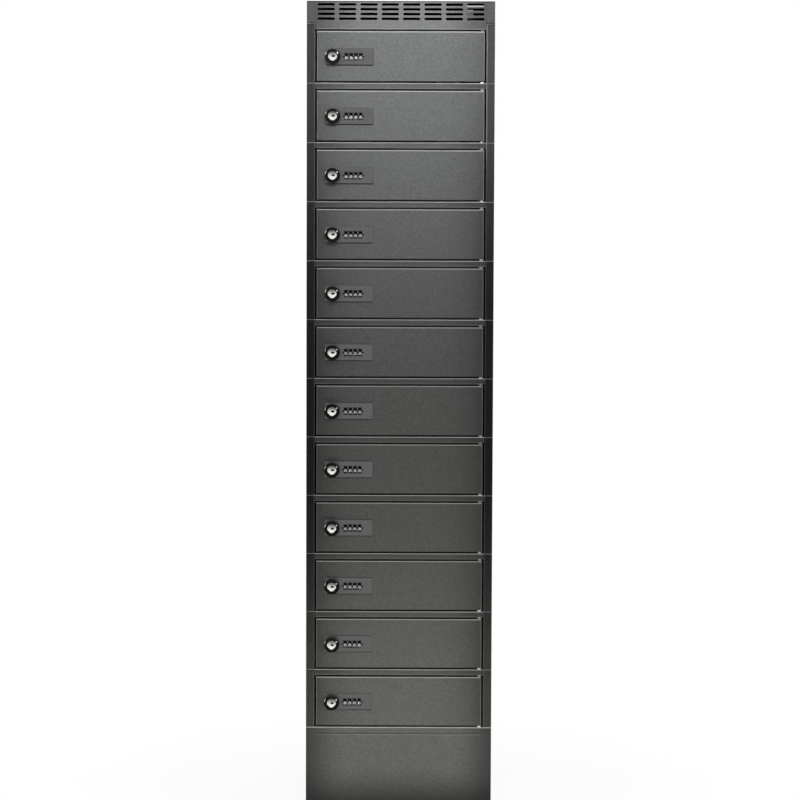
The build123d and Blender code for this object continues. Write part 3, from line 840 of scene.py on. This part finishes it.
def plated(name, colour, roughness, ring_share):
    """Plated metal with the faint rings or drag lines that turning and polishing leave."""
    material, place = start_finish(name)
    wave = from_axis(place) * (2 * math.pi / drag_pitch)
    cloud = place.noise(plated_cloud_size, 3.0)
    height = wave.work("SINE", wave) * ring_share + cloud * (1 - ring_share)
    close_finish(place, cloud.tint(scaled(colour, plated_dull_tone), colour),
                 roughness + plated_gloss * (cloud - 0.5), height, drag_depth, Metallic=1.0)
    return material


def cam_outline(inset):
    """The tongue round its hub, as points in X and Z, drawn in by inset."""
    hub = cam_hub_radius - inset
    half = cam_half_width - inset
    shoulder = math.asin(half / hub)
    sweep = 2 * math.pi - 2 * shoulder
    points = [at_turn(shoulder - math.pi / 2 + sweep * step / cam_hub_steps, hub)
              for step in range(cam_hub_steps + 1)]
    tip = cam_half_width - cam_length
    for step in range(cam_tip_steps + 1):
        across, up = at_turn(math.pi * step / cam_tip_steps, half)
        points.append((-across, tip - up))
    return points


def cam_shape():
    """The tongue with rounded edges and its square hole."""
    shape = bmesh.new()
    hole = tang_half + square_room
    steps = [(cam_front, cam_edge), (cam_front + cam_edge, 0),
             (cam_rear - cam_edge, 0), (cam_rear, cam_edge)]
    layers = [[shape.verts.new((x, depth, z)) for x, z in cam_outline(inset)] for depth, inset in steps]
    for lower, upper in zip(layers, layers[1:]):
        join_rings(shape, lower, upper)
    corners = [(hole, hole), (-hole, hole), (-hole, -hole), (hole, -hole)]
    squares = [[shape.verts.new((x, depth, z)) for x, z in corners] for depth in (cam_front, cam_rear)]
    join_rings(shape, *squares)
    for outer, inner in ((layers[0], squares[0]), (layers[-1], squares[1])):
        edges = [shape.edges.get((ring[index], ring[(index + 1) % len(ring)]))
                 for ring in (outer, inner) for index in range(len(ring))]
        bmesh.ops.triangle_fill(shape, edges=edges, use_beauty=True)
    return shape


def hexagon(turn):
    return nut_flats / 2 / math.cos((turn + math.pi / 6) % (math.pi / 3) - math.pi / 6)


def turned_hexagon(turn):
    return min(hexagon(turn), nut_flats / math.sqrt(3) - nut_corner_loss)


def nut_shape():
    """A hexagon nut with its corners turned off, and a plain bore."""
    shape = bmesh.new()
    bore = round_outline(stud_radius + thread_room)
    top = cam_rear + nut_height
    rings = [(cam_rear, bore), (cam_rear, turned_hexagon), (cam_rear + nut_lower_bevel, hexagon),
             (top - nut_upper_bevel, hexagon), (top, turned_hexagon), (top, bore)]
    layers = ring_layers(shape, rings, nut_points)
    for lower, upper in zip(layers, layers[1:] + layers[:1]):
        join_rings(shape, lower, upper)
    return shape


zinc_plate = plated("zinc_plate", zinc, roughness=0.38, ring_share=0.15)
cam_mesh = finished_mesh(cam_shape(), "latch_cam", zinc_plate, math.radians(30))
nut_mesh = finished_mesh(nut_shape(), "cam_nut", zinc_plate, math.radians(25))
for number in door_numbers:
    place = joint_place[f"knob_{number}_turn"]
    for name, mesh in (("latch_cam_", cam_mesh), ("cam_nut_", nut_mesh)):
        piece = new_piece(name + number, mesh, "knob_" + number, place)
        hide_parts("knob_" + number)

# Each bay's outlet is an off-white moulding that passes through the back sheet into the
# extruded power strip. A black rubber lead joins the strip to the black mains inlet.
outlet_white = (0.62, 0.62, 0.59, 1)
black_rubber = ((0.015, 0.015, 0.015, 1), 0.5, 0.0)
satin_aluminium = ((0.60, 0.61, 0.62, 1), 0.4, 1.0)
strip_bottom = plinth_top + 25 * mm
meeting_fade = 0.05 * mm
stain_size = 6 * mm
stain_depth = 0.02 * mm
stain_share = 0.1
stain_gloss = 0.08


def two_finishes(name, level, below, above):
    """One CAD node of two materials, which meet at a height. Each is colour, roughness, metal."""
    material, place = start_finish(name)
    upper = place.axis("Z").rise(level - meeting_fade, level + meeting_fade)
    stain = place.noise(stain_size)
    shade_and_stain = upper * (1 - stain_share)
    colour = stain.tint(upper.tint(below[0], above[0]), shade_and_stain.tint(below[0], above[0]))
    close_finish(place, colour, below[1] + upper * (above[1] - below[1]) + stain_gloss * (stain - 0.5),
                 stain, stain_depth, Metallic=below[2] + upper * (above[2] - below[2]))
    return material


give(["socket_outlets"], moulded("outlet_white", outlet_white, roughness=0.38, grain_size=0.9 * mm,
                                 depth=grain_depth))
give(["power_supply"], two_finishes("strip_and_inlet", strip_bottom, black_rubber, satin_aluminium))

# The rear covers are held by black-plated pan-head screws. The levelling feet are
# zinc-plated studs and nuts on pads of black rubber.
black_zinc = (0.06, 0.06, 0.06, 1)
pad_rubber = ((0.02, 0.02, 0.02, 1), 0.7, 0.0)
foot_zinc = ((0.55, 0.55, 0.53, 1), 0.35, 1.0)
pad_top = 6 * mm
give(["cover_screws"], plated("black_zinc", black_zinc, roughness=0.4, ring_share=0.1))
give(["levelling_feet"], two_finishes("feet", pad_top, pad_rubber, foot_zinc))

# A spring clip of zinc-plated strip is hooked over the web under the first slot of the cap's
# last column. Its loop lies inside the cap, and its tab shows through the slots below. The strip
# is painted darker inside the cap, lower down and deeper in, as painted shade.
slot_length = 40.5 * mm
slot_height = 5.8 * mm
slot_pitch_x = 49.9 * mm
slot_pitch_z = 11.1 * mm
first_slot_z = cap_high.z - 8.2 * mm
skin = 1.2 * mm
strip_thickness = 0.8 * mm
bar_drop = 2.5 * mm
bar_end_gap = 1.8 * mm
tab_width = 16 * mm
tab_overhang = 1.5 * mm
tab_rise = 2.1 * mm
loop_depth = 14 * mm
clip_front = (0.38, 0.38, 0.375, 1)
clip_inside = (0.20, 0.20, 0.20, 1)
clip_lower = (0.10, 0.10, 0.10, 1)
clip_lowest = (0.025, 0.025, 0.025, 1)
clip_deep = (0.01, 0.01, 0.01, 1)
inside_fade = (0, 0.4 * mm)
deep_fade = (2.1 * mm, 3 * mm)
level_fade = (0, 2 * mm)
slot_floors = [first_slot_z - row * slot_pitch_z - slot_height / 2 for row in range(4)]
last_slot_x = 3.5 * slot_pitch_x
bar_left = last_slot_x - slot_length / 2
bar_right = last_slot_x + slot_length / 2 - bar_end_gap
tab_left = bar_left - tab_overhang
tab_right = tab_left + tab_width
half_strip = strip_thickness / 2
hook_level = slot_floors[0] + half_strip
tab_level = slot_floors[1] + tab_rise - half_strip
tab_middle = front_y + skin + half_strip
loop_middle = front_y + skin + loop_depth + half_strip
strip_path = [(front_y - half_strip, slot_floors[0] - bar_drop), (front_y - half_strip, hook_level),
              (loop_middle, hook_level), (loop_middle, tab_level), (tab_middle, tab_level),
              (tab_middle, slot_floors[3] + slot_height / 2)]
columns = [tab_left, bar_left, tab_right, bar_right]
leg_columns = [(1, 3), (1, 3), (1, 2), (1, 2), (0, 2)]
sheet = bmesh.new()
rows = [[sheet.verts.new((x, y, z)) for x in columns] for y, z in strip_path]
for upper, lower, (first, last) in zip(rows, rows[1:], leg_columns):
    for column in range(first, last):
        sheet.faces.new((upper[column], upper[column + 1], lower[column + 1], lower[column]))
loose = [vertex for vertex in sheet.verts if not vertex.link_faces]
bmesh.ops.delete(sheet, geom=loose, context="VERTS")
clip_zinc, place = start_finish("clip_zinc")
cloud = place.noise(5 * mm, 3.0)
inside = (place.axis("Y") - front_y).rise(*inside_fade)
deep = (place.axis("Y") - front_y).rise(*deep_fade)
lower = (slot_floors[1] - place.axis("Z")).rise(*level_fade)
lowest = (slot_floors[2] - place.axis("Z")).rise(*level_fade)
colour = lower.tint(inside.tint(clip_front, clip_inside), clip_lower)
colour = deep.tint(lowest.tint(colour, clip_lowest), clip_deep)
close_finish(place, colour, roughness=0.3 + 0.15 * cloud, height=cloud, depth=0.03 * mm, Metallic=1.0)
clip_mesh = finished_mesh(sheet, "vent_clip", clip_zinc)
clip = new_piece("vent_clip", clip_mesh, "root", (0, 0, 0))
thickness = clip.modifiers.new("thickness", "SOLIDIFY")
thickness.thickness = strip_thickness
thickness.offset = 0
thickness.use_even_offset = True

# The tower stands on a plain white studio floor that keeps its shadow, in a white room.
# Away from the tower the floor turns into the plain white of the room, without a horizon, and
# under the open plinth it is only as bright as the light that gets there.
floor_half = 30.0
floor_thickness = 0.01
floor_grey = (0.85, 0.85, 0.84, 1)
room_white = (1, 1, 1, 1)
shadow_share = 0.08
shadow_fade = (0.35, 0.9)
under_tower = (-12 * mm, -8 * mm)
floor_shape = bmesh.new()
plate_of(floor_shape, [(-floor_half, -floor_half), (floor_half, -floor_half),
                       (floor_half, floor_half), (-floor_half, floor_half)], 0, floor_thickness)
bmesh.ops.rotate(floor_shape, verts=floor_shape.verts, matrix=Matrix.Rotation(-math.pi / 2, 3, "X"))
highest = max(vertex.co.z for vertex in floor_shape.verts)
bmesh.ops.translate(floor_shape, verts=floor_shape.verts, vec=(0, 0, -highest))
floor_white = bpy.data.materials.new("floor_white")
floor_white.use_nodes = True
floor_white.node_tree.nodes.clear()
start = Wire(floor_white.node_tree)


def seen_directly(start):
    """1 for rays from the camera or through a mirror or glass, which see the plain white."""
    rays = [start.node("LightPath", {}, {}, name)
            for name in ("Is Camera Ray", "Is Glossy Ray", "Is Transmission Ray")]
    return rays[0].most(rays[1]).most(rays[2])


lit = start.node("BsdfDiffuse", {}, {"Color": floor_grey})
plain = start.node("Emission", {}, {"Color": room_white, "Strength": 1.0})
place = start.node("TexCoord", {}, {}, "Object")
away = place.length().rise(*shadow_fade)
outside = (abs(place.axis("X")) - cap_high.x).most(abs(place.axis("Y")) - cap_high.y)
share = seen_directly(start) * (1 - (1 - away) * shadow_share) * outside.rise(*under_tower)
mixed = start.node("MixShader", {}, {0: share, 1: lit, 2: plain})
start.node("OutputMaterial", {}, {"Surface": mixed})
floor_mesh = finished_mesh(floor_shape, "studio_floor", floor_white)
studio_floor = bpy.data.objects.new("studio_floor", floor_mesh)
bpy.context.scene.collection.objects.link(studio_floor)

world = bpy.data.worlds.new("white_room")
bpy.context.scene.world = world
world.use_nodes = True
world.node_tree.nodes.clear()
start = Wire(world.node_tree)
room_light = 0.05
strength = room_light + seen_directly(start) * (1 - room_light)
backdrop = start.node("Background", {}, {"Color": room_white, "Strength": strength})
start.node("OutputWorld", {}, {"Surface": backdrop})

# Soft lamps: one before the upper doors, a wide weak one in front, two near the floor before the
# lower doors, one high and near that only glints on the edges, four at the sides and one behind.
target_front = Vector((0, front_y, 1.0))


def soft_lamp(name, place, target, width, height, power, colour):
    """An area lamp that faces its target and isn't itself in the picture."""
    data = bpy.data.lights.new(name, "AREA")
    data.shape = "RECTANGLE"
    data.size = width
    data.size_y = height
    data.energy = power
    data.color = colour
    lamp = bpy.data.objects.new(name, data)
    bpy.context.scene.collection.objects.link(lamp)
    lamp.location = place
    lamp.rotation_euler = (Vector(target) - Vector(place)).to_track_quat("-Z", "Y").to_euler()
    lamp.visible_camera = False
    return lamp


top_lamp = soft_lamp("top_lamp", place=(0.1, -1.9, 2.35), target=(0.05, front_y, 1.98),
                     width=1.2, height=0.5, power=9.3, colour=(0.94, 0.965, 1.0))
top_lamp.data.spread = math.radians(61)
front_lamp = soft_lamp("front_lamp", place=(0, -3.6, 1.6), target=target_front,
                       width=1.6, height=1.6, power=16, colour=(1.0, 1.0, 0.99))
floor_lamp = soft_lamp("floor_lamp", place=(0, -1.9, 0.3), target=(0, front_y, 0),
                       width=1.2, height=0.3, power=1.3, colour=(1.0, 1.0, 0.90))
floor_lamp.data.spread = math.radians(40)
low_lamp = soft_lamp("low_lamp", place=(0, -0.9, 0.25), target=(0, front_y, 0.5),
                     width=0.9, height=0.25, power=2.75, colour=(1.0, 1.0, 0.88))
for lamp in (top_lamp, front_lamp, floor_lamp, low_lamp):
    lamp.visible_glossy = False
edge_lamp = soft_lamp("edge_lamp", place=(0.45, -0.95, 2.55), target=(0.05, front_y, 1.65),
                      width=0.7, height=0.35, power=9, colour=(0.97, 0.985, 1.0))
edge_lamp.visible_diffuse = False
for name, side, power in (("left_lamp", -1, 4), ("right_lamp", 1, 7)):
    soft_lamp(name, place=(2.4 * side, -1.9, 0.9), target=target_front,
              width=0.7, height=1.8, power=power, colour=(1.0, 1.0, 0.98))
for name, side in (("left_side_lamp", -1), ("right_side_lamp", 1)):
    side_lamp = soft_lamp(name, place=(2.6 * side, 0.9, 1.5), target=(0.2 * side, 0.1, 1.0),
                          width=1.0, height=1.8, power=45, colour=(1.0, 1.0, 1.0))
    side_lamp.visible_glossy = False
soft_lamp("rear_lamp", place=(0.6, 3.4, 2.2), target=(0, 0.25, 1.0),
          width=1.6, height=1.6, power=90, colour=(1.0, 1.0, 1.0))

# The camera stands five metres before the doors, at chest height, and looks a little down.
camera_distance = 5.0
camera_height = 1.215
camera_tilt = math.radians(2.9413)
camera_roll = math.radians(0.204)
camera_shift_x = 0.8 * mm
camera_lens = 95.6
camera_film = 36
camera_data = bpy.data.cameras.new("camera")
camera_data.lens = camera_lens
camera_data.sensor_width = camera_film
camera_data.clip_end = 100
camera = bpy.data.objects.new("camera", camera_data)
bpy.context.scene.collection.objects.link(camera)
camera.location = (camera_shift_x, front_y - camera_distance, camera_height)
looking = Matrix.Rotation(math.pi / 2 - camera_tilt, 4, "X") @ Matrix.Rotation(camera_roll, 4, "Z")
camera.rotation_euler = looking.to_euler()
bpy.context.scene.camera = camera
bpy.context.scene.view_settings.view_transform = "Standard"
